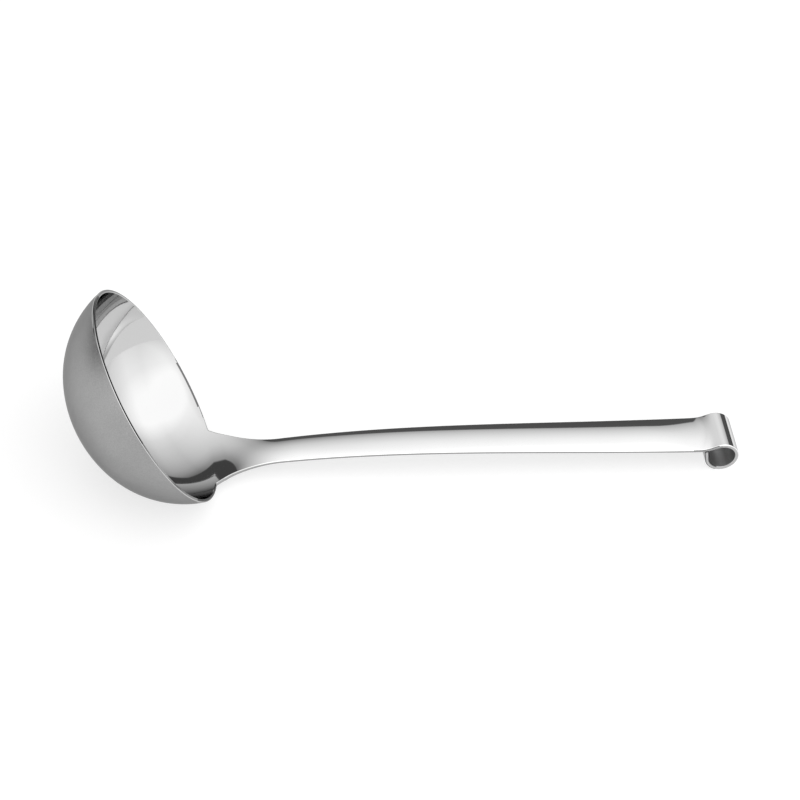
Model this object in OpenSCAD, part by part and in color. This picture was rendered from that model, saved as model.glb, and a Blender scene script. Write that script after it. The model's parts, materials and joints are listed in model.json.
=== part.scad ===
// Soup ladle of polished stainless steel sheet, lying on a table.
// +X points along the handle to the hook, +Z is up, and the table is the plane Z = 0.
// The origin is under the middle of the ladle's length and width.
// The bowl is turned about its own axis, which leans towards the handle.

/* [Bowl] */
// Outer diameter of the rim
rim_d = 100; // [90:1:110]
// Outer depth, from the rim to the bottom
bowl_depth = 36.7; // [33:0.1:41]
// Thickness of the bowl's sheet
bowl_wall = 1.6; // [1:0.1:2.4]
// Angle of the profile's bottom arc, measured from the bowl's axis, in degrees
base_arc = 28; // [20:1:36]
// Lean of the wall at the rim, outwards from the bowl's axis, in degrees
wall_lean = 15.5; // [11:0.5:18]
// Lean of the bowl's axis from upright while the ladle lies, in degrees
bowl_tilt = 55.4; // [50:0.1:60]

/* [Neck] */
// Height of the tab that is drawn up from the rim to carry the handle
tab_h = 3; // [2:0.1:5]
// Width of the ground weld between the tab and the handle
weld_w = 1.2; // [0.6:0.1:2]
// Radius of the fillets where the tab leaves the rim
fillet_r = 1.5; // [0.8:0.1:2.4]
// Radius of the concave flare on each side of the neck
flare_r = 45; // [38:1:60]
// Distance from the rim to the neck's narrowest place
waist_run = 28; // [24:1:34]
// Width of the neck at its narrowest place
waist_w = 13.7; // [11:0.1:17]

/* [Handle] */
// Thickness of the handle's strip
handle_t = 1.7; // [1.2:0.1:2.4]
// Distance from the rim's centre to the hook's centre, along the table
hook_reach = 252; // [220:1:285]
// Width of the strip at the hook
hook_w = 20.7; // [16:0.1:24]
// Radius of the pressed crown across the strip
crown_r = 28; // [20:1:60]
// Length over which the bowl's hollow turns into the crown
crown_run = 14; // [12:1:24]
// Length over which the crown flattens before the hook
flat_run = 10; // [8:1:20]
// Length of the flat strip that leads into the hook
flat_lead = 2; // [1:0.5:4]
// Distance from the weld to the shoulder, where the neck's climb ends
shoulder_run = 24; // [18:1:32]
// Height of the strip's middle above the table at the shoulder
shoulder_z = 9.7; // [8:0.1:11]
// Slope of the strip at the shoulder, in degrees
shoulder_rise = 6.8; // [4:0.1:10]
// Length of the S-bend between the dip and the hook
dip_run = 10; // [7:0.5:14]
// Height of the strip's middle above the table at the dip
dip_z = 13.4; // [12.8:0.1:13.8]
// Slope of the strip at the dip, in degrees
dip_rise = 1; // [0:0.5:3]

/* [Hook] */
// Inner radius of the rolled hook
hook_r = 5.9; // [5.2:0.1:6.2]
// Slope of the strip where it enters the roll, in degrees
hook_rise = 11; // [10:0.5:16]
// Angle that the roll turns through, in degrees
hook_turn = 271; // [270:1:280]
// Gap between the tip and the underside of the strip
tip_gap = 0.4; // [0.3:0.1:1.5]

/* [Hidden] */
round_fn = 96;
// Reach of a cut past the face that it opens
overrun = 1;
// Chamfer along the strip's edges, and what is left of it at the weld
edge_chamfer = 0.4;
weld_chamfer_share = 0.1;
// Reach of the strip's end into the roll, and how far it stays under the roll's faces there
roll_reach = 0.3;
roll_inset = 0.02;
// Rings of the handle's skin in the neck, the long middle and the S-bend
neck_rings = 20;
middle_rings = 36;
bend_rings = 12;
// Points across each side of the strip
across = 11;
// Steps of the bowl's profile along its bottom arc, its side arc and its lip
base_steps = 9;
side_steps = 15;
lip_steps = 8;
// Steps of the fillet and of the flare along the tab's edge
fillet_steps = 6;
flare_steps = 3;

// Radii of the middle line of the bowl's profile, a bottom arc and a side arc that are
// tangent to each other and reach the middle of the rounded lip at the stated lean
rim_r = rim_d / 2;
rim_angle = 90 - wall_lean;
lip_r = bowl_wall / 2;
line_r = rim_r - lip_r;
line_depth = bowl_depth - bowl_wall;
arc_det = sin(base_arc) * (cos(base_arc) - cos(rim_angle))
    - (sin(rim_angle) - sin(base_arc)) * (1 - cos(base_arc));
base_mid_r = (line_r * (cos(base_arc) - cos(rim_angle))
    - line_depth * (sin(rim_angle) - sin(base_arc))) / arc_det;
side_mid_r = (line_depth * sin(base_arc) - line_r * (1 - cos(base_arc))) / arc_det;
base_r = base_mid_r + lip_r;
side_r = side_mid_r + lip_r;
base_z = base_r - bowl_depth;
side_x = (base_r - side_r) * sin(base_arc);
side_z = base_z - (base_r - side_r) * cos(base_arc);

// The bowl rests on its side arc, below the neck
rim_z = side_r + side_x * sin(bowl_tilt) - side_z * cos(bowl_tilt);

// Wall of the neck: a cone that goes on from the rim at the wall's lean
lip_h = bowl_wall;
cone_r = side_x + sqrt(pow(side_r, 2) - pow(side_z + lip_h, 2));
root_s = tab_h + weld_w;
wall_across = bowl_wall / cos(wall_lean);
function cone_at(z) = cone_r + (z + lip_h) * tan(wall_lean);

// Fillet between the rim and the flare: centre at the fillet's own height
flare_y = waist_w / 2 + flare_r;
fillet_y = flare_y - sqrt(pow(flare_r - fillet_r, 2) - pow(waist_run - fillet_r, 2));
fillet_top = waist_run - (waist_run - fillet_r) * flare_r / (flare_r - fillet_r);

// Extent along X, measured from the rim's centre, that centres the ladle
hook_out_r = hook_r + handle_t;
hook_mid_r = hook_r + handle_t / 2;
back_end = min(side_z * sin(bowl_tilt) - side_x * cos(bowl_tilt) - side_r,
    base_z * sin(bowl_tilt) - base_r);
middle_x = (hook_reach + hook_out_r + back_end) / 2;
rim_x = -middle_x;
hook_x = hook_reach - middle_x;

// Turns a place in the bowl's own frame, out along its radius and up its axis,
// into a place in the lying ladle's X and Z
function lie(r, z) = [rim_x + r * cos(bowl_tilt) + z * sin(bowl_tilt),
    rim_z - r * sin(bowl_tilt) + z * cos(bowl_tilt)];

// Middle line of the strip in X and Z: places and slopes of its four knots
root_rise = 90 - bowl_tilt - wall_lean;
root_at = lie(cone_at(root_s) - wall_across / 2, root_s);
shoulder_at = [root_at[0] + shoulder_run, shoulder_z];
hook_at = [hook_x - hook_mid_r * sin(hook_rise), hook_out_r + hook_mid_r * cos(hook_rise)];
dip_at = [hook_at[0] - dip_run, dip_z];

function heading(a) = [cos(a), sin(a)];
function curve_at(p, a, q, b, t) = let (pull = norm(q - p))
    (2 * pow(t, 3) - 3 * pow(t, 2) + 1) * p + (3 * pow(t, 2) - 2 * pow(t, 3)) * q
    + (pow(t, 3) - 2 * pow(t, 2) + t) * pull * heading(a)
    + (pow(t, 3) - pow(t, 2)) * pull * heading(b);
function curve_run(p, a, q, b, t) = let (pull = norm(q - p))
    (6 * pow(t, 2) - 6 * t) * (p - q)
    + (3 * pow(t, 2) - 4 * t + 1) * pull * heading(a)
    + (3 * pow(t, 2) - 2 * t) * pull * heading(b);
function slope_of(v) = atan2(v[1], v[0]);
function stretch(p, a, q, b, n, last) =
    [for (i = [0 : n - 1 + last]) let (t = i / n)
        concat(curve_at(p, a, q, b, t), slope_of(curve_run(p, a, q, b, t)))];

// Each station holds X, Z and the slope of the middle line
stations = concat(
    stretch(root_at, root_rise, shoulder_at, shoulder_rise, neck_rings, 0),
    stretch(shoulder_at, shoulder_rise, dip_at, dip_rise, middle_rings, 0),
    stretch(dip_at, dip_rise, hook_at, hook_rise, bend_rings, 1),
    [concat(hook_at + roll_reach * heading(hook_rise), hook_rise)]);
last_station = len(stations) - 1;
function step_at(i) = norm([stations[i][0] - stations[i - 1][0], stations[i][1] - stations[i - 1][1]]);
runs = [for (i = 0, s = root_s; i <= last_station; i = i + 1, s = i > last_station ? s : s + step_at(i)) s];
handle_run = runs[last_station - 1];

// Smooth step from 0 to 1
function ease(u) = let (c = min(1, max(0, u))) c * c * (3 - 2 * c);
// Half width of the strip at a distance from the rim
function half_w(s) = s < waist_run
    ? flare_y - sqrt(pow(flare_r, 2) - pow(waist_run - s, 2))
    : waist_w / 2 + (hook_w - waist_w) / 2 * min(1, (s - waist_run) / (handle_run - waist_run));
// The flat lead draws in by a hair, so that its end lies inside the roll
function inset(s) = roll_inset * ease(1 - (handle_run - s) / flat_lead);
// Share of the handle's own form, against the bowl's form at the weld
function handle_share(s) = ease((s - root_s) / crown_run);
// Curvature across the strip: hollow like the bowl at the weld, crowned on the handle, flat at the hook
function bend_across(s) = (1 - handle_share(s)) / (cone_at(root_s) - wall_across / 2)
    - handle_share(s) * ease((handle_run - flat_lead - s) / flat_run) / crown_r;
// Height of an arc over its chord's middle
function arch(k, y) = k * y * y / (1 + sqrt(1 - k * k * y * y));

// One side of the strip: places across it on a parallel arc, at a distance below the middle line
function side_point(y, k, below) = [y, below - arch(k / (1 + k * below), y)];
function section(s, t) = let (
        w = half_w(s) - inset(s),
        k = bend_across(s),
        c = edge_chamfer * (weld_chamfer_share + (1 - weld_chamfer_share) * handle_share(s)),
        side = [for (j = [0 : across - 1]) (w - c) * (2 * j / (across - 1) - 1)])
    concat(
        [for (y = side) side_point(y, k, -t / 2)],
        [side_point(w, k, c - t / 2), side_point(w, k, t / 2 - c)],
        [for (y = side) side_point(-y, k, t / 2)],
        [side_point(-w, k, t / 2 - c), side_point(-w, k, c - t / 2)]);
// A ring of the skin, in a plane that turns from the rim's plane to square across the strip
function ring(i) = let (
        s = runs[i],
        at = stations[i],
        turn = wall_lean * (1 - handle_share(s)),
        lean = at[2] + turn,
        t = (bowl_wall + (handle_t - bowl_wall) * handle_share(s)) / cos(turn) - 2 * inset(s))
    [for (p = section(s, t)) [at[0] + p[1] * sin(lean), p[0], at[1] - p[1] * cos(lean)]];

// Skin over rings of equal count, each ring going round the same way
module skin(rings) {
    n = len(rings[0]);
    m = len(rings) - 1;
    points = [for (r = rings) each r];
    sides = [for (i = [0 : m - 1]) for (j = [0 : n - 1]) let (a = i * n + j, b = i * n + (j + 1) % n)
        each [[a, b, a + n], [b, b + n, a + n]]];
    // Pairs of points that face each other through the sheet
    pairs = [for (j = [0 : n / 2 - 1]) [(j + n - 1) % n, (n - 2 - j)]];
    ends = [for (j = [0 : n / 2 - 2]) let (a = pairs[j], b = pairs[j + 1])
        each [[a[0], a[1], b[0]], [b[0], a[1], b[1]]]];
    far = [for (f = ends) [f[0] + m * n, f[2] + m * n, f[1] + m * n]];
    polyhedron(points, concat(sides, ends, far));
}

// Places its children, drawn in the bowl's own frame, as the bowl lies
module as_bowl_lies() {
    translate([rim_x, 0, rim_z]) rotate([0, bowl_tilt, 0]) children();
}

// Points of an arc about a centre, with angles measured from straight down
function arc_points(x, z, r, from, to, steps, first) =
    [for (i = [first : steps]) let (a = from + (to - from) * i / steps) [x + r * sin(a), z - r * cos(a)]];

// Section of the bowl's sheet: up the outside, round the lip and down the inside
module bowl_profile() {
    lip_x = side_x + side_mid_r * sin(rim_angle);
    lip_z = side_z - side_mid_r * cos(rim_angle);
    polygon(concat(
        arc_points(0, base_z, base_r, 0, base_arc, base_steps, 0),
        arc_points(side_x, side_z, side_r, base_arc, rim_angle, side_steps, 1),
        arc_points(lip_x, lip_z, lip_r, rim_angle, rim_angle + 180, lip_steps, 1),
        arc_points(side_x, side_z, side_r - bowl_wall, rim_angle, base_arc, side_steps, 1),
        arc_points(0, base_z, base_r - bowl_wall, base_arc, 0, base_steps, 1)));
}

// Half width of the neck at a height over the rim, with the fillet at its foot
function neck_half_w(z) = z <= 0 ? fillet_y
    : z < fillet_top ? fillet_y - sqrt(pow(fillet_r, 2) - pow(fillet_r - z, 2))
    : flare_y - sqrt(pow(flare_r, 2) - pow(waist_run - z, 2));
fillet_turn = acos(1 - fillet_top / fillet_r);
tab_heights = concat([-lip_h],
    [for (i = [0 : fillet_steps]) fillet_r * (1 - cos(fillet_turn * i / fillet_steps))],
    [for (i = [1 : flare_steps]) fillet_top + (tab_h - fillet_top) * i / flare_steps]);
weld_heights = [tab_h, root_s];

// Conical wall of the neck over a list of heights above the rim, cut to the neck's outline
module neck_wall(heights) {
    low = heights[0];
    high = heights[len(heights) - 1];
    edge = [for (z = heights) [neck_half_w(z), z]];
    back = [for (i = [len(heights) - 1 : -1 : 0]) [-edge[i][0], edge[i][1]]];
    intersection() {
        rotate_extrude($fn = round_fn) polygon([
            [cone_at(low) - wall_across, low],
            [cone_at(low), low],
            [cone_at(high), high],
            [cone_at(high) - wall_across, high]]);
        rotate([90, 0, 90]) linear_extrude(rim_d) polygon(concat(edge, back));
    }
}

module bowl() {
    color("silver") as_bowl_lies() {
        difference() {
            rotate_extrude($fn = round_fn) bowl_profile();
            translate([0, -fillet_y, -lip_h]) cube([rim_d, 2 * fillet_y, lip_h + overrun]);
        }
        neck_wall(tab_heights);
    }
}

module neck_weld() {
    color("darkgray") as_bowl_lies() neck_wall(weld_heights);
}

// Section of the rolled strip, from the hook's inner radius outwards
module strip_section() {
    w = hook_w / 2;
    c = edge_chamfer;
    polygon([
        [hook_r, c - w], [hook_r + c, -w], [hook_out_r - c, -w], [hook_out_r, c - w],
        [hook_out_r, w - c], [hook_out_r - c, w], [hook_r + c, w], [hook_r, w - c]]);
}

// Roll of the strip, with a straight tip that stops short of the strip's underside
module hook() {
    end_angle = 90 + hook_rise - hook_turn;
    end_at = [hook_x + hook_mid_r * cos(end_angle), hook_out_r + hook_mid_r * sin(end_angle)];
    // Over the tip the strip is still partly crowned, so its edges hang lower than its middle
    crown_share = ease((hook_at[0] - flat_lead - hook_x + hook_out_r) / flat_run);
    edge_drop = arch(crown_share / crown_r, hook_w / 2);
    under_z = dip_z - handle_t / 2 - edge_drop - tip_gap;
    tip_len = (under_z - end_at[1]) / -cos(end_angle);
    translate([hook_x, 0, hook_out_r]) rotate([90, 0, 0]) rotate(end_angle) {
        rotate_extrude(angle = hook_turn, $fn = round_fn) strip_section();
        rotate([90, 0, 0]) linear_extrude(tip_len) strip_section();
    }
}

module handle() {
    color("gainsboro") {
        skin([for (i = [0 : last_station]) ring(i)]);
        hook();
    }
}

bowl();
neck_weld();
handle();
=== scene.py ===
"""Looks of a soup ladle of stainless steel, lying on a white table.

The three CAD nodes are replaced by smooth meshes of the same form. Lengths are in millimetres, and MM
turns them into Blender's metres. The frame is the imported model's: +X to the hook, +Z up.

A run is a place along the neck and the handle. Up to the weld's end it is the height over the rim in
the bowl's own frame, and from there on it adds the length along the middle of the sheet.
"""

import json
from math import acos, cos, degrees, pi, radians, sin, sqrt, tan

import bpy
import numpy as np
from mathutils import Matrix, Vector


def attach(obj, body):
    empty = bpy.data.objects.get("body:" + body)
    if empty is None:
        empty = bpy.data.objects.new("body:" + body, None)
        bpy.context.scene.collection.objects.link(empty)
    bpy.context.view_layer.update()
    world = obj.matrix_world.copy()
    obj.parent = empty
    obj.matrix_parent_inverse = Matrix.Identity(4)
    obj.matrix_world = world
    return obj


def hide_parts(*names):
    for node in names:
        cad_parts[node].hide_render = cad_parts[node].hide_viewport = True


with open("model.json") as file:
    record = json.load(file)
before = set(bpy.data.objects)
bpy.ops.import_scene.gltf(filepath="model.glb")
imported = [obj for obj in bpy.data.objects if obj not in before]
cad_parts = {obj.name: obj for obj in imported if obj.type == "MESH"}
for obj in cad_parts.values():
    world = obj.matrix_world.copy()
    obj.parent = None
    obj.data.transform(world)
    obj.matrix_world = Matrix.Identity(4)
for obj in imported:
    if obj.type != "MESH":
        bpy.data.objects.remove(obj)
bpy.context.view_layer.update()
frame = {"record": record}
MM = 0.001

# Bowl: its section is a bottom arc, a side arc and a straight wall that leans out
RIM_D = 100
BOWL_DEPTH = 36.7
BOWL_WALL = 1.6
BASE_ARC = radians(28)
WALL_LEAN = radians(15.5)
BOWL_TILT = radians(55.4)

# Neck: the tab on the rim, the weld on the tab, and the flare that narrows to a waist
TAB_H = 3
WELD_W = 1.2
FILLET_R = 1.5
FLARE_R = 45
WAIST_RUN = 28
WAIST_W = 13.7

# Handle, and its line as seen from the side: over a shoulder past the weld and a dip before the roll
HANDLE_T = 1.7
HOOK_W = 20.7
HOOK_REACH = 252
SHOULDER_RUN = 24
SHOULDER_Z = 9.7
SHOULDER_RISE = radians(6.8)
DIP_RUN = 10
DIP_Z = 13.4
DIP_RISE = radians(1)

# Crown, the arch across the handle. It grows over a run from the weld. It fades twice before the roll: to a
# share over the flat run, which ends a lead before the roll, and to nothing over the dip's run
CROWN_R = 28
CROWN_RUN = 24
HOOK_CROWN = 0.62
FLAT_RUN = 24
FLAT_LEAD = 8

# Hook: a roll and a straight tip that stops under the strip
HOOK_R = 5.9
HOOK_RISE = radians(11)
HOOK_TURN = radians(271)
TIP_GAP = 0.15

# Rounding of the sheet's corners as a share of half its thickness, on the rim and on the handle, and the
# run over which the first turns into the second. A flat edge face is left between the corners
RIM_ROUND_SHARE = 0.5
EDGE_ROUND_SHARE = 0.42
EDGE_ROUND_RUN = 5

# Steps of the meshes
ACROSS = 41
CORNER_STEPS = 6
BOWL_ROWS = 72
RIM_STEPS = 300
FILLET_STEPS = 12
FLARE_STEPS = 8
LINE_SAMPLES = 1500
WELD_RINGS = 4
HANDLE_RINGS = 420
NUDGE = 0.001

# Finishes in the order of each piece's materials; two of them carry painted light in their grey. The grain
# has a size and a relief, and is drawn out along X that many times. Clouds and specks are the shares by
# which
# the grey varies: clouds in wide patches, and specks with the grain
FINISHES_AND_PAINTED_LIGHT = (
    # Polished steel: lighter from the neck on, a painted highlight on the handle
    dict(name="steel_polished", level=0.56, painted_highlight_level=0.92, roughness=0.05, grain=0.6, drawn=20, relief=0.0002,
         clouds=0.01),
    dict(name="steel_satin", level=0.35, roughness=0.36, grain=0.5, drawn=1, relief=0.01, clouds=0.04,
         specks=0.13),
    dict(name="steel_ground", level=0.36, roughness=0.22, grain=0.3, drawn=20, relief=0.003, clouds=0.02),
    # The darkest steel is painted dark reflection and shade, in lines on the lip and on the handle's edges
    dict(name="steel_painted_dark", level=0.14, roughness=0.25, grain=0.3, drawn=1, relief=0.003, clouds=0.02),
    dict(name="steel_under", level=0.5, roughness=0.45, grain=0.5, drawn=20, relief=0.001, clouds=0.02))
POLISHED_SLOT, SATIN_SLOT, GROUND_SLOT, PAINTED_DARK_SLOT, UNDER_SLOT = range(len(FINISHES_AND_PAINTED_LIGHT))
EDGE_TINT = 0.5

# Stretch of X along the neck over which the polished steel turns from the bowl's grey to a lighter one: a
# painted highlight that lightens the handle
PAINTED_HIGHLIGHT_FROM = -78.6
PAINTED_HIGHLIGHT_TO = -45

# The noise of the grain and of the clouds, and how far the roughness follows the grain
GRAIN_DETAIL = 4
CLOUD_DETAIL = 3
CLOUDS_PER_METRE = 60
NOISE_LOW = 0.3
NOISE_HIGH = 0.7
ROUGH_SPREAD = 0.2

# Corners of the handle's edges that the photograph shows dark, given the painted dark grey of painted dark
# reflection and shade: the top corner from a row on, over a run before the roll that counts from the roll's
# start, and both corners past a turn of the roll
DARK_ROW = 2
DARK_FROM = -12.5
DARK_TO = -1
DARK_TURN = radians(205)

# Arcs of the lip with a grey of their own, placed to match the photograph. The darkest is painted dark
# reflection, and one takes the outside's satin. Each gives degrees round the rim from the neck, start and
# end, then the first and last row of faces across the lip from its inside, and the finish
LIP_ARCS = ((26, 33, 2, 6, PAINTED_DARK_SLOT), (33, 58, 0, 6, PAINTED_DARK_SLOT), (58, 61, 2, 6, PAINTED_DARK_SLOT),
            (150, 195, 4, 6, PAINTED_DARK_SLOT), (195, 246, 3, 7, PAINTED_DARK_SLOT), (195, 300, 10, 12, SATIN_SLOT),
            (300, 360, 4, 6, PAINTED_DARK_SLOT))
NECK_GROUND_ROWS = 2

# Camera, fitted to the photograph
CAMERA_AT = (-284.3, -1130.9, 1137.2)
CAMERA_AZIMUTH = radians(13.923)
CAMERA_ELEVATION = radians(43.336)
CAMERA_ROLL = radians(8.218)
FOCAL_PX = 3714.2
IMAGE_PX = 800
SENSOR = 36
CLIP_NEAR = 50
CLIP_FAR = 50000

# Floor: its grey where light falls on it, the white that it adds where it is seen, and the share of both
# that is left far behind the ladle, where the floor darkens as painted shade
FLOOR_HALF = 6000
FLOOR_COLOUR = 0.42
FLOOR_LIFT = 0.63
FLOOR_FAR = 0.7
FLOOR_NEAR_Y = 360
FLOOR_FAR_Y = 1200

# Light: three soft lights that add up to a top level at most. Each has the azimuth and the rise of an axis
# in degrees, and levels by how far a direction faces that axis, from -1 away from it to 1 along it. The
# levels come from a program's fit to the reflections in the photograph, and were adjusted afterwards
LIGHT_STRENGTH = 1.5
LIGHT_TOP = 1.14
LIGHTS = ((-50, -35, ((-1, 0.84), (-0.8, 0.72), (-0.6, 0.39), (-0.45, 0.28), (-0.3, 0.23), (0, 0.15),
                      (0.1, 0.09), (0.2, 0))),
          (0, 90, ((0.2, 0.03), (0.4, 0.05), (0.6, 0.18), (0.8, 0.31), (1, 0.4))),
          (-115, 4, ((-0.8, 0), (-0.5, 0.1), (-0.2, 0.05), (0.1, 0.17), (0.4, 0.31), (0.7, 0.1),
                     (1, 0.85))))

# Dark room low at the back: its level, and its share by direction, written as the lights are. The sides
# bound it to the left and right, and of the two upper edges the one that reaches higher counts
ROOM_LEVEL = 0.055
ROOM_SIDES = (15, 0, ((cos(radians(72)), 0), (cos(radians(62)), 1)))
ROOM_TOPS = ((0, 90, ((sin(radians(26)), 1), (sin(radians(27.5)), 0))),
             (90, 67.4, ((0.42, 1), (0.437, 0))))

# Numbers of a colour mix node's sockets
MIX_SHARE, MIX_FIRST, MIX_SECOND, MIX_RESULT = 0, 6, 7, 2


def ease(share):
    """Smooth step from 0 to 1."""
    held = np.clip(share, 0, 1)
    return held * held * (3 - 2 * held)


# Middle line of the bowl's section. The radii of its two tangent arcs solve a pair of linear equations,
# so that the line ends at the rim's radius and the bowl's depth
HALF_WALL = BOWL_WALL / 2
RIM_ANGLE = pi / 2 - WALL_LEAN
LINE_R = RIM_D / 2 - HALF_WALL
LINE_DEPTH = BOWL_DEPTH - BOWL_WALL
BASE_SPAN = (sin(BASE_ARC), 1 - cos(BASE_ARC))
SIDE_SPAN = (sin(RIM_ANGLE) - sin(BASE_ARC), cos(BASE_ARC) - cos(RIM_ANGLE))
SPAN_DET = BASE_SPAN[0] * SIDE_SPAN[1] - SIDE_SPAN[0] * BASE_SPAN[1]
BASE_MID_R = (LINE_R * SIDE_SPAN[1] - LINE_DEPTH * SIDE_SPAN[0]) / SPAN_DET
SIDE_MID_R = (LINE_DEPTH * BASE_SPAN[0] - LINE_R * BASE_SPAN[1]) / SPAN_DET
BASE_Z = BASE_MID_R + HALF_WALL - BOWL_DEPTH
SIDE_X = (BASE_MID_R - SIDE_MID_R) * sin(BASE_ARC)
SIDE_Z = BASE_Z - (BASE_MID_R - SIDE_MID_R) * cos(BASE_ARC)
BASE_LEN = BASE_MID_R * BASE_ARC
ARC_LEN = BASE_LEN + SIDE_MID_R * (RIM_ANGLE - BASE_ARC)

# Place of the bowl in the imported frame: the hook's bore fixes it along X, and its side rests on the table
HOOK_X = frame["record"]["mounts"][0]["pos_m"][0] / MM
RIM_X = HOOK_X - HOOK_REACH
RIM_Z = SIDE_MID_R + HALF_WALL + SIDE_X * sin(BOWL_TILT) - SIDE_Z * cos(BOWL_TILT)

WELD_END = TAB_H + WELD_W
FLARE_Y = WAIST_W / 2 + FLARE_R
FILLET_Y = FLARE_Y - sqrt((FLARE_R - FILLET_R) ** 2 - (WAIST_RUN - FILLET_R) ** 2)
HOOK_MID_R = HOOK_R + HANDLE_T / 2
HOOK_OUTER_R = HOOK_R + HANDLE_T


def wall_radius(z):
    """Radius of the sheet's middle on the neck's conical wall, at a height over the rim."""
    return LINE_R + (z + HALF_WALL) * tan(WALL_LEAN)


def lie(r, z):
    """X and Z, as the ladle lies, of a place in the bowl's own frame."""
    return np.array([RIM_X + r * cos(BOWL_TILT) + z * sin(BOWL_TILT),
                     RIM_Z - r * sin(BOWL_TILT) + z * cos(BOWL_TILT)])


def heading(angle):
    """Direction at an angle, as X and Z."""
    return np.array([cos(angle), sin(angle)])


def arch(bend, y):
    """Height of an arc over its middle, at a distance across it."""
    return bend * y * y / (1 + np.sqrt(1 - bend * bend * y * y))


def hermite(start, start_rise, end, end_rise):
    """Rows of X, Z and slope along a curve with a slope at each end."""
    t = np.linspace(0, 1, LINE_SAMPLES)[:, None]
    pull = np.hypot(*(end - start))
    leave = pull * heading(start_rise)
    arrive = pull * heading(end_rise)
    places = ((2 * t**3 - 3 * t**2 + 1) * start + (3 * t**2 - 2 * t**3) * end
              + (t**3 - 2 * t**2 + t) * leave + (t**3 - t**2) * arrive)
    rates = ((6 * t**2 - 6 * t) * (start - end) + (3 * t**2 - 4 * t + 1) * leave
             + (3 * t**2 - 2 * t) * arrive)
    return np.column_stack([places, np.arctan2(rates[:, 1], rates[:, 0])])


def crown_left(left):
    """Share of the crown that is left, at a distance before the roll."""
    return HOOK_CROWN * ease(left / DIP_RUN) + (1 - HOOK_CROWN) * ease((left - FLAT_LEAD) / FLAT_RUN)


def strip_line(root, root_rise):
    """Rows of X, Z and slope from the weld over the shoulder and the dip to the roll's start."""
    shoulder = np.array([root[0] + SHOULDER_RUN, SHOULDER_Z])
    entry = np.array([HOOK_X - HOOK_MID_R * sin(HOOK_RISE), HOOK_OUTER_R + HOOK_MID_R * cos(HOOK_RISE)])
    dip = np.array([entry[0] - DIP_RUN, DIP_Z])
    line = np.vstack([hermite(root, root_rise, shoulder, SHOULDER_RISE),
                      hermite(shoulder, SHOULDER_RISE, dip, DIP_RISE)[1:],
                      hermite(dip, DIP_RISE, entry, HOOK_RISE)[1:]])

    # Where the crown fades before the dip, the middle sinks and the edges keep their height
    left = np.concatenate([np.cumsum(np.hypot(*np.diff(line[::-1, :2], axis=0).T))[::-1], [0]])
    crown_h = float(arch(1 / CROWN_R, HOOK_W / 2))
    line[:, 1] -= crown_h * (1 - crown_left(left)) * ease(left / DIP_RUN)
    step = line[2:, :2] - line[:-2, :2]
    line[1:-1, 2] = np.arctan2(step[:, 1], step[:, 0])
    return line


def roll_line():
    """Rows of X, Z and slope round the roll, past its first point."""
    turned = np.linspace(0, HOOK_TURN, LINE_SAMPLES)[1:]
    around = pi / 2 + HOOK_RISE - turned
    x = HOOK_X + HOOK_MID_R * np.cos(around)
    z = HOOK_OUTER_R + HOOK_MID_R * np.sin(around)
    return np.column_stack([x, z, HOOK_RISE - turned])


def tip_row(strip, roll_end):
    """X, Z and slope of the tip, which stops a gap under the strip's edges."""
    slope = HOOK_RISE - HOOK_TURN
    tip_x = HOOK_X - HOOK_OUTER_R
    edge_drop = float(arch(crown_left(strip[-1, 0] - tip_x) / CROWN_R, HOOK_W / 2))
    under_z = np.interp(tip_x, strip[:, 0], strip[:, 1]) - HANDLE_T / 2 - edge_drop - TIP_GAP
    length = (under_z - roll_end[1]) / sin(slope)
    return [*(roll_end[:2] + length * heading(slope)), slope]


def middle_line():
    """Rows of run, X, Z and slope from the rim to the hook's tip, and the run at which the roll starts."""
    wall_rise = pi / 2 - BOWL_TILT - WALL_LEAN
    foot, root = (lie(wall_radius(z), z) for z in (-HALF_WALL, WELD_END))
    strip = strip_line(root, wall_rise)
    roll = roll_line()
    line = np.vstack([[*foot, wall_rise], strip, roll, tip_row(strip, roll[-1])])
    steps = np.hypot(*np.diff(line[1:, :2], axis=0).T)
    runs = np.concatenate([[-HALF_WALL, WELD_END], WELD_END + np.cumsum(steps)])
    return np.column_stack([runs, line]), runs[len(strip)]


LINE, ROLL_START = middle_line()
LINE_END = LINE[-1, 0]


def handle_share(run):
    """Share by which the section has turned from the bowl's hollow wall into the crowned handle."""
    return ease((run - WELD_END) / CROWN_RUN)


def thickness(run):
    """Thickness of the sheet at a run."""
    return BOWL_WALL + (HANDLE_T - BOWL_WALL) * handle_share(run)


def bend_across(run):
    """Curvature across the sheet: plus where it is hollow like the bowl's wall, and minus where crowned."""
    share = handle_share(run)
    hollow = (1 - share) / wall_radius(np.minimum(run, WELD_END))
    return hollow - share * crown_left(ROLL_START - run) / CROWN_R


def edge_y(run):
    """Distance from the middle to the place that the sheet's rounded edge is built round."""
    inset = thickness(run) / 2
    past = np.clip((run - WAIST_RUN) / (ROLL_START - WAIST_RUN), 0, 1)
    straight = WAIST_W / 2 + (HOOK_W - WAIST_W) / 2 * past - inset
    flare = FLARE_Y - np.sqrt((FLARE_R + inset) ** 2 - np.clip(WAIST_RUN - run, 0, FLARE_R) ** 2)
    return np.where(run < WAIST_RUN, flare, straight)


def strip_place(run, y):
    """Places on the middle of the strip's sheet, at runs along it and distances across it.

    On the tab the arch stands square to the bowl's axis, and on the handle square to its slope.
    """
    x, z, slope = (np.interp(run, LINE[:, 0], LINE[:, column]) for column in (1, 2, 3))
    lean = slope + WALL_LEAN * (1 - handle_share(run))
    up = arch(bend_across(run), y)
    return np.stack([x - up * np.sin(lean), y, z + up * np.cos(lean)], -1)


def unit(vectors):
    """The same directions with a length of 1."""
    return vectors / np.linalg.norm(vectors, axis=-1, keepdims=True)


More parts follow.
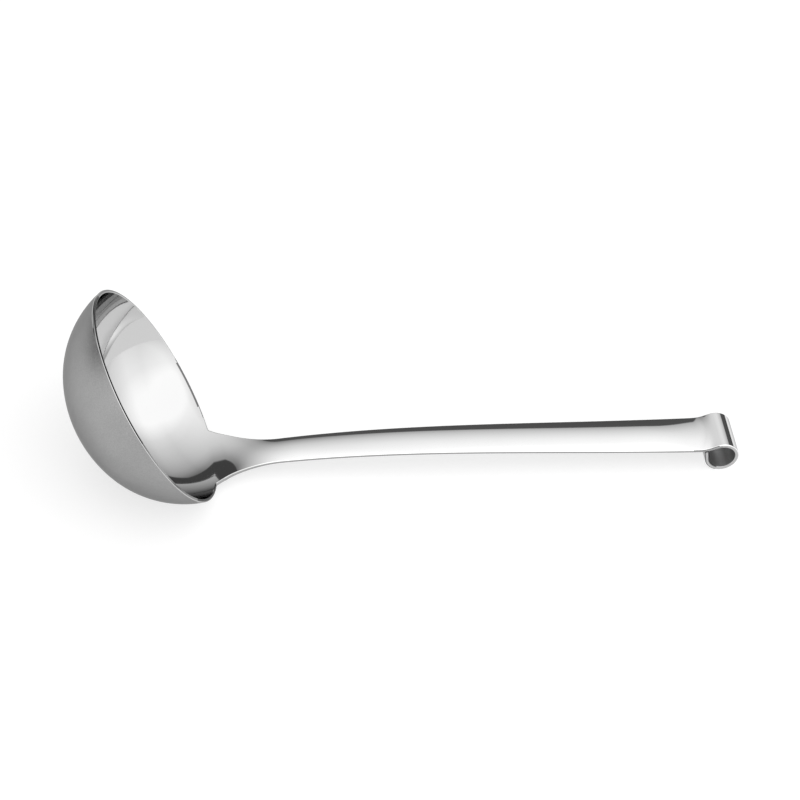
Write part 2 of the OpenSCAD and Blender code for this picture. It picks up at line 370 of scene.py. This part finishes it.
def strip_normal(run, y):
    """Upward normals of the strip's sheet."""
    along = strip_place(run + NUDGE, y) - strip_place(run - NUDGE, y)
    across = strip_place(run, y + NUDGE) - strip_place(run, y - NUDGE)
    return unit(np.cross(along, across))


def edge_out(run, side):
    """Direction out of the sheet at its edge, square to the edge and to the sheet."""
    after, before = (strip_place(near, side * edge_y(near)) for near in (run + NUDGE, run - NUDGE))
    out = unit(np.cross(after - before, strip_normal(run, side * edge_y(run))))
    return out * np.sign(out[..., 1] * side)[..., None]


def round_share(run):
    """Share of half the thickness by which the corners are rounded."""
    return RIM_ROUND_SHARE + (EDGE_ROUND_SHARE - RIM_ROUND_SHARE) * ease(run / EDGE_ROUND_RUN)


def edge_section(share):
    """Rows round an edge from top to bottom: steps out and up over half the thickness, and normals."""
    turn = np.linspace(pi / 2, 0, CORNER_STEPS)
    out = 1 - share + share * np.cos(turn)
    up = 1 - share + share * np.sin(turn)
    top = np.column_stack([out, up, np.cos(turn), np.sin(turn)])
    bottom = top[::-1] * np.array([1, -1, 1, -1])
    return np.vstack([top, bottom])


def edge_points(place, out, normal, half, share):
    """Points and normals round an edge, from the top face to the bottom face."""
    section = edge_section(share)
    points = place + half * (section[:, :1] * out + section[:, 1:2] * normal)
    normals = section[:, 2:3] * out + section[:, 3:4] * normal
    return points, normals


def strip_ring(run):
    """Points and normals round the strip's section at one run: top, far edge, bottom and near edge."""
    width = edge_y(run)
    y = np.linspace(-width, width, ACROSS)
    runs = np.full(ACROSS, float(run))
    half = thickness(run) / 2
    middle = strip_place(runs, y)
    normal = strip_normal(runs, y)
    share = float(round_share(run))
    far, near = (edge_points(middle[end], edge_out(np.array(float(run)), side), normal[end], half, share)
                 for side, end in ((1, -1), (-1, 0)))
    points = [middle + half * normal, far[0], (middle - half * normal)[::-1], near[0][::-1]]
    normals = [normal, far[1], -normal[::-1], near[1][::-1]]
    return np.vstack(points), np.vstack(normals)


# Points round an edge and round the strip's ring, and the row of the flat face between an edge's corners
EDGE_COUNT = 2 * CORNER_STEPS
RING_COUNT = 2 * (ACROSS + EDGE_COUNT)
FACE_ROW = CORNER_STEPS - 1


def edge_slot(row, past):
    """Material of a face of the strip's edge, by its row from the top and its run past the roll's start."""
    # Past the dark turn, and on the top corner over the dark run: painted dark reflection and shade
    if past > HOOK_MID_R * DARK_TURN:
        return UNDER_SLOT if row == FACE_ROW else PAINTED_DARK_SLOT
    if DARK_FROM < past < DARK_TO and DARK_ROW <= row < FACE_ROW:
        return PAINTED_DARK_SLOT
    if row < FACE_ROW:
        return POLISHED_SLOT
    return GROUND_SLOT if past < 0 else UNDER_SLOT


def ring_slots(run):
    """Materials of the faces that start at the points of the strip's ring, painted dark on some corners."""
    edge = [edge_slot(row, run - ROLL_START) for row in range(EDGE_COUNT - 1)]
    return [POLISHED_SLOT] * ACROSS + edge + [UNDER_SLOT] * (ACROSS + 1) + edge[::-1] + [POLISHED_SLOT]


def cap_faces(first, forward):
    """Faces that close a strip's end, over the ring that starts at a vertex."""
    ring = list(range(first, first + RING_COUNT))
    half = ACROSS + EDGE_COUNT
    top, far = ring[:ACROSS], ring[ACROSS:half]
    under, near = ring[half:half + ACROSS][::-1], ring[half + ACROSS:]
    faces = [[top[i], top[i + 1], under[i + 1], under[i]] for i in range(ACROSS - 1)]
    faces += [[top[-1], *far, under[-1]], [top[0], under[0], *near]]
    return faces if forward else [face[::-1] for face in faces]


def mesh_piece(name, points, normals, faces, caps, slots, materials):
    """A mesh in metres with its own smooth normals. Its caps stay flat."""
    mesh = bpy.data.meshes.new(name)
    mesh.from_pydata((points * MM).tolist(), [], faces + caps)
    for material in materials:
        mesh.materials.append(material)
    mesh.polygons.foreach_set("material_index", slots)
    mesh.shade_smooth()
    loop_normals = np.zeros((len(mesh.loops), 3))
    for face in mesh.polygons:
        smooth = face.index < len(faces)
        for loop in face.loop_indices:
            loop_normals[loop] = normals[mesh.loops[loop].vertex_index] if smooth else face.normal
    mesh.normals_split_custom_set(loop_normals.tolist())
    piece = bpy.data.objects.new(name, mesh)
    bpy.context.scene.collection.objects.link(piece)
    return piece


def strip_piece(name, runs, materials):
    """A closed stretch of the strip between two runs."""
    points, normals = (np.vstack(part) for part in zip(*map(strip_ring, runs)))
    faces = []
    slots = []
    for row, run in enumerate(runs[:-1]):
        here = row * RING_COUNT
        there = here + RING_COUNT
        slots += ring_slots(run)
        for i in range(RING_COUNT):
            j = (i + 1) % RING_COUNT
            faces.append([here + i, there + i, there + j, here + j])
    caps = cap_faces(0, True) + cap_faces((len(runs) - 1) * RING_COUNT, False)
    slots += [GROUND_SLOT] * len(caps)
    return mesh_piece(name, points, normals, faces, caps, slots, materials)


def section_at(length):
    """Radius, height and their rates along the bowl's middle line, at lengths from its bottom."""
    base = np.minimum(length, BASE_LEN) / BASE_MID_R
    side = BASE_ARC + np.clip(length - BASE_LEN, 0, ARC_LEN - BASE_LEN) / SIDE_MID_R
    past = np.maximum(length - ARC_LEN, 0)
    low = length < BASE_LEN
    r = np.where(low, BASE_MID_R * np.sin(base), SIDE_X + SIDE_MID_R * np.sin(side) + past * sin(WALL_LEAN))
    z = np.where(low, BASE_Z - BASE_MID_R * np.cos(base),
                 SIDE_Z - SIDE_MID_R * np.cos(side) + past * cos(WALL_LEAN))
    angle = np.where(low, base, side)
    return r, z, np.cos(angle), np.sin(angle)


def bowl_place(length, turn):
    """Places and inward normals on the middle of the bowl's sheet, as it lies."""
    r, z, rate_r, rate_z = section_at(length)
    x, lying_z = lie(r * np.cos(turn), z)
    place = np.stack([x, r * np.sin(turn), lying_z], -1)
    inward, across = -rate_z * np.cos(turn), -rate_z * np.sin(turn)
    normal = np.stack([inward * cos(BOWL_TILT) + rate_r * sin(BOWL_TILT), across,
                       -inward * sin(BOWL_TILT) + rate_r * cos(BOWL_TILT)], -1)
    return place, normal


def neck_edge():
    """Heights over the rim and distances from the middle along the neck's edge, from the tab's top down."""
    fillet = FILLET_R + HALF_WALL
    join = WAIST_RUN - (WAIST_RUN - FILLET_R) * (FLARE_R + HALF_WALL) / (FLARE_R - FILLET_R)
    flare_z = np.linspace(TAB_H, join, FLARE_STEPS)
    flare_y = FLARE_Y - np.sqrt((FLARE_R + HALF_WALL) ** 2 - (WAIST_RUN - flare_z) ** 2)
    turn = np.linspace(acos((FILLET_R - join) / fillet), 0, FILLET_STEPS)[1:]
    return (np.concatenate([flare_z, FILLET_R - fillet * np.cos(turn)]),
            np.concatenate([flare_y, FILLET_Y - fillet * np.sin(turn)]))


def bowl_columns():
    """Turns of the bowl's columns, and the heights over the rim that they end at.

    They go along the tab's top, down its far side, round the rim and up its near side.
    """
    side_z, side_y = neck_edge()
    side_turn = np.arcsin(side_y / wall_radius(side_z))
    rim_turn = np.linspace(side_turn[-1], 2 * pi - side_turn[-1], RIM_STEPS)[1:-1]
    tab_turn = np.arcsin(np.linspace(-side_y[0], side_y[0], ACROSS) / wall_radius(TAB_H))
    turns = np.concatenate([tab_turn, side_turn[1:], rim_turn, -side_turn[:0:-1]])
    heights = [np.full(ACROSS, TAB_H), side_z[1:], np.full(len(rim_turn), -HALF_WALL), side_z[:0:-1]]
    return turns, np.concatenate(heights)


def side_faces(first, pole, columns):
    """Faces of one side of the bowl's sheet: each column has a triangle at the pole and rows over it."""
    faces = []
    for j in range(columns):
        k = (j + 1) % columns
        faces.append([pole, first + j, first + k])
        for row in range(first, first + (BOWL_ROWS - 1) * columns, columns):
            faces.append([row + j, row + columns + j, row + columns + k, row + k])
    return faces


def lip_slots(turn, height):
    """Materials of the faces across the bowl's edge from its inside, on the lip or beside the neck."""
    rows = [POLISHED_SLOT] * (EDGE_COUNT + 1)
    rows[FACE_ROW + 1] = GROUND_SLOT
    if height > 0:
        rows[FACE_ROW + 1 - NECK_GROUND_ROWS:FACE_ROW + 1] = [GROUND_SLOT] * NECK_GROUND_ROWS
    # The darkest arcs are painted dark reflection on the lip
    for start, end, first, last, slot in LIP_ARCS:
        if height < 0 and start <= degrees(turn) < end:
            rows[first:last + 1] = [slot] * (last + 1 - first)
    return rows


def bowl_piece(name, materials):
    """The bowl's sheet with its lip and its tab, closed where the weld starts."""
    turns, heights = bowl_columns()
    columns = len(turns)
    lengths = ARC_LEN + (heights + HALF_WALL) / cos(WALL_LEAN)
    grid = np.linspace(0, 1, BOWL_ROWS + 1)[1:, None] * lengths
    place, normal = bowl_place(grid, np.broadcast_to(turns, grid.shape))
    pole, pole_normal = bowl_place(np.array(0.0), np.array(0.0))

    # Points run over the inside, the outside and the two poles, and then across the edge's columns
    count = BOWL_ROWS * columns
    inner_pole, outer_pole = 2 * count, 2 * count + 1
    points = [place + HALF_WALL * normal, place - HALF_WALL * normal,
              pole + HALF_WALL * pole_normal, pole - HALF_WALL * pole_normal]
    normals = [normal, -normal, pole_normal, -pole_normal]
    inside = side_faces(0, inner_pole, columns)
    outside = [face[::-1] for face in side_faces(count, outer_pole, columns)]
    faces = inside + outside
    slots = [POLISHED_SLOT] * len(inside) + [SATIN_SLOT] * len(outside)

    # The edge's columns run from the tab's far corner round the rim to its near corner
    edge = np.concatenate([np.arange(ACROSS - 1, columns), [0]])
    line = place[-1, edge]
    up = normal[-1, edge]
    out = unit(np.cross(np.gradient(line, axis=0), up))
    out[0], out[-1] = (edge_out(np.array(float(TAB_H)), side) for side in (1, -1))
    shares = round_share(np.maximum(heights[edge], 0))
    for spot, away, upward, share in zip(line, out, up, shares):
        column_points, column_normals = edge_points(spot, away, upward, HALF_WALL, share)
        points.append(column_points)
        normals.append(column_normals)
    top_row = count - columns
    ladder = []
    for i, j in enumerate(edge):
        first = outer_pole + 1 + i * EDGE_COUNT
        ladder.append([top_row + j, *range(first, first + EDGE_COUNT), count + top_row + j])
    for one, two, turn, height in zip(ladder, ladder[1:], turns[edge], heights[edge]):
        faces += [[a, b, d, c] for a, b, c, d in zip(one, one[1:], two, two[1:])]
        slots += lip_slots(turn, height)

    caps = [[i, count + i, count + i + 1, i + 1] for i in range(top_row, top_row + ACROSS - 1)]
    caps += [ladder[0][::-1], ladder[-1]]
    slots += [POLISHED_SLOT] * len(caps)
    points, normals = (np.vstack([part.reshape(-1, 3) for part in parts]) for parts in (points, normals))
    return mesh_piece(name, points, normals, faces, caps, slots, materials)


class Nodes:
    """A tree of shader nodes, with nodes made and linked in one call."""

    def __init__(self, owner):
        owner.use_nodes = True
        self.tree = owner.node_tree
        self.tree.nodes.clear()

    def add(self, kind, inputs=None, **settings):
        """A node with settings, and with a socket or a value for each of its named or numbered inputs."""
        node = self.tree.nodes.new(kind)
        for key, value in settings.items():
            setattr(node, key, value)
        for key, value in (inputs or {}).items():
            if isinstance(value, bpy.types.NodeSocket):
                self.tree.links.new(value, node.inputs[key])
            else:
                node.inputs[key].default_value = value
        return node

    def number(self, operation, *values):
        """Result of an operation on numbers."""
        return self.add("ShaderNodeMath", dict(enumerate(values)), operation=operation).outputs["Value"]

    def vector(self, operation, *values, result="Vector"):
        """Result of an operation on vectors."""
        node = self.add("ShaderNodeVectorMath", dict(enumerate(values)), operation=operation)
        return node.outputs[result]

    def span(self, value, start, end, low=0, high=1, smooth=False):
        """A value between a start and an end, moved to between a low and a high, which hold it outside."""
        inputs = {"Value": value, "From Min": start, "From Max": end, "To Min": low, "To Max": high}
        kind = "SMOOTHSTEP" if smooth else "LINEAR"
        return self.add("ShaderNodeMapRange", inputs, interpolation_type=kind).outputs["Result"]

    def around(self, noise, middle, share):
        """A level that a noise moves up and down from a middle, by a share of it."""
        return self.span(noise, NOISE_LOW, NOISE_HIGH, middle * (1 - share), middle * (1 + share))

    def mix(self, share, first, second):
        """A colour between two, by the second's share."""
        inputs = {MIX_SHARE: share, MIX_FIRST: first, MIX_SECOND: second}
        return self.add("ShaderNodeMix", inputs, data_type="RGBA").outputs[MIX_RESULT]

    def noise(self, place, scale, detail):
        """A noise with a number of patches per metre."""
        inputs = {"Vector": place, "Scale": scale, "Detail": detail}
        return self.add("ShaderNodeTexNoise", inputs).outputs["Fac"]

    def object_place(self):
        """Place on the object, in metres."""
        return self.add("ShaderNodeTexCoord").outputs["Object"]


def grey(level):
    """A grey colour, with its alpha."""
    return (level, level, level, 1)


def steel(name, level, roughness, grain, drawn, relief, clouds, specks=0, painted_highlight_level=None):
    """Steel of one grey, or lighter from the neck on as a painted highlight, with the finish that its entry
    in the table describes.
    """
    material = bpy.data.materials.new(name)
    nodes = Nodes(material)
    place = nodes.object_place()
    fine = nodes.noise(nodes.vector("MULTIPLY", place, (1 / drawn, 1, 1)), 1 / (grain * MM), GRAIN_DETAIL)
    wide = nodes.noise(place, CLOUDS_PER_METRE, CLOUD_DETAIL)
    tone = nodes.number("MULTIPLY", nodes.around(wide, 1, clouds), nodes.around(fine, 1, specks))
    colour = (level, level, level)
    if painted_highlight_level is not None:
        # Painted highlight: the steel is lighter from the neck on
        along = nodes.add("ShaderNodeSeparateXYZ", {0: place}).outputs["X"]
        share = nodes.span(along, PAINTED_HIGHLIGHT_FROM * MM, PAINTED_HIGHLIGHT_TO * MM, smooth=True)
        colour = nodes.mix(share, grey(level), grey(painted_highlight_level))
    toned = nodes.add("ShaderNodeVectorMath", {0: colour, "Scale": tone}, operation="SCALE")
    rough = nodes.around(fine, roughness, ROUGH_SPREAD)
    bump = nodes.add("ShaderNodeBump", {"Height": fine, "Distance": relief * MM})
    shader = nodes.add("ShaderNodeBsdfPrincipled",
                       {"Base Color": toned.outputs["Vector"], "Metallic": 1, "Roughness": rough,
                        "Specular Tint": grey(EDGE_TINT), "Normal": bump.outputs["Normal"]})
    nodes.add("ShaderNodeOutputMaterial", {"Surface": shader.outputs["BSDF"]})
    return material


def floor_piece():
    """A pale floor. It adds some white where it is seen, directly or mirrored, and keeps its shadow."""
    material = bpy.data.materials.new("floor_white")
    nodes = Nodes(material)
    back = nodes.add("ShaderNodeSeparateXYZ", {0: nodes.object_place()}).outputs["Y"]
    # Painted shade: the floor's grey and white fall off far behind the ladle
    painted_back_shade = nodes.span(back, FLOOR_NEAR_Y * MM, FLOOR_FAR_Y * MM, 1, FLOOR_FAR, smooth=True)
    matte = nodes.add("ShaderNodeBsdfDiffuse", {"Color": nodes.number("MULTIPLY", painted_back_shade, FLOOR_COLOUR)})
    rays = nodes.add("ShaderNodeLightPath").outputs
    seen = nodes.number("MAXIMUM", rays["Is Camera Ray"], rays["Is Glossy Ray"])
    seen = nodes.number("MAXIMUM", seen, rays["Is Transmission Ray"])
    lift = nodes.number("MULTIPLY", nodes.number("MULTIPLY", seen, FLOOR_LIFT), painted_back_shade)
    glow = nodes.add("ShaderNodeEmission", {"Color": grey(1), "Strength": lift})
    both = nodes.add("ShaderNodeAddShader", {0: matte.outputs[0], 1: glow.outputs[0]})
    nodes.add("ShaderNodeOutputMaterial", {"Surface": both.outputs[0]})

    mesh = bpy.data.meshes.new("floor")
    half = FLOOR_HALF * MM
    corners = [(-half, -half, 0), (half, -half, 0), (half, half, 0), (-half, half, 0)]
    mesh.from_pydata(corners, [], [(0, 1, 2, 3)])
    mesh.materials.append(material)
    floor = bpy.data.objects.new("floor", mesh)
    bpy.context.scene.collection.objects.link(floor)


def direction(azimuth, rise):
    """Direction at an azimuth, which turns from +Y towards +X, and at a rise over the floor."""
    return sin(azimuth) * cos(rise), cos(azimuth) * cos(rise), sin(rise)


def direction_levels(nodes, towards, azimuth, rise, stops):
    """Grey by how far a direction faces an axis. Outside the first and the last stop, the level holds."""
    axis = direction(radians(azimuth), radians(rise))
    facing = nodes.vector("DOT_PRODUCT", towards, axis, result="Value")
    ramp = nodes.add("ShaderNodeValToRGB", {"Fac": nodes.span(facing, -1, 1)})
    shares = [(place + 1) / 2 for place, _ in stops]
    elements = ramp.color_ramp.elements
    for share in shares[2:]:
        elements.new(share)
    for element, share, (_, level) in zip(elements, shares, stops):
        element.position = share
        element.color = grey(level)
    return ramp.outputs["Color"]


def studio():
    """Soft light from above and in front, which falls away towards the back, where the room is dark."""
    world = bpy.data.worlds.new("studio")
    bpy.context.scene.world = world
    nodes = Nodes(world)
    towards = nodes.add("ShaderNodeTexCoord").outputs["Generated"]
    level = (0, 0, 0)
    for light in LIGHTS:
        level = nodes.vector("ADD", direction_levels(nodes, towards, *light), level)
    level = nodes.vector("MINIMUM", level, (LIGHT_TOP, LIGHT_TOP, LIGHT_TOP))
    sideways = nodes.vector("NORMALIZE", nodes.vector("MULTIPLY", towards, (1, 1, 0)))
    side = direction_levels(nodes, sideways, *ROOM_SIDES)
    top = nodes.number("MAXIMUM", *(direction_levels(nodes, towards, *edge) for edge in ROOM_TOPS))
    level = nodes.mix(nodes.number("MULTIPLY", side, top), level, grey(ROOM_LEVEL))
    shade = nodes.add("ShaderNodeBackground", {"Color": level, "Strength": LIGHT_STRENGTH})
    nodes.add("ShaderNodeOutputWorld", {"Surface": shade.outputs["Background"]})


def camera():
    """The photograph's camera."""
    forward = Vector(direction(CAMERA_AZIMUTH, -CAMERA_ELEVATION))
    level = Vector((cos(CAMERA_AZIMUTH), -sin(CAMERA_AZIMUTH), 0))
    right = level * cos(CAMERA_ROLL) + level.cross(forward) * sin(CAMERA_ROLL)
    up = right.cross(forward)
    data = bpy.data.cameras.new("camera")
    data.sensor_width = SENSOR
    data.lens = FOCAL_PX * SENSOR / IMAGE_PX
    data.clip_start = CLIP_NEAR * MM
    data.clip_end = CLIP_FAR * MM
    view = bpy.data.objects.new("camera", data)
    turn = Matrix((right, up, -forward)).transposed().to_4x4()
    view.matrix_world = Matrix.Translation(Vector(CAMERA_AT) * MM) @ turn
    bpy.context.scene.collection.objects.link(view)
    bpy.context.scene.camera = view


camera()
floor_piece()
studio()

steels = [steel(**finish) for finish in FINISHES_AND_PAINTED_LIGHT]
bowl = bowl_piece("ladle_bowl", steels)
weld = strip_piece("ladle_weld", np.linspace(TAB_H, WELD_END, WELD_RINGS), steels)
handle = strip_piece("ladle_handle", np.linspace(WELD_END, LINE_END, HANDLE_RINGS), steels)
for piece, node, slot in ((bowl, "bowl", "bowl_steel"), (weld, "neck_weld", "weld_steel"),
                          (handle, "handle", "handle_steel")):
    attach(piece, "root")
    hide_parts(node)

bpy.context.scene.view_settings.view_transform = "Standard"
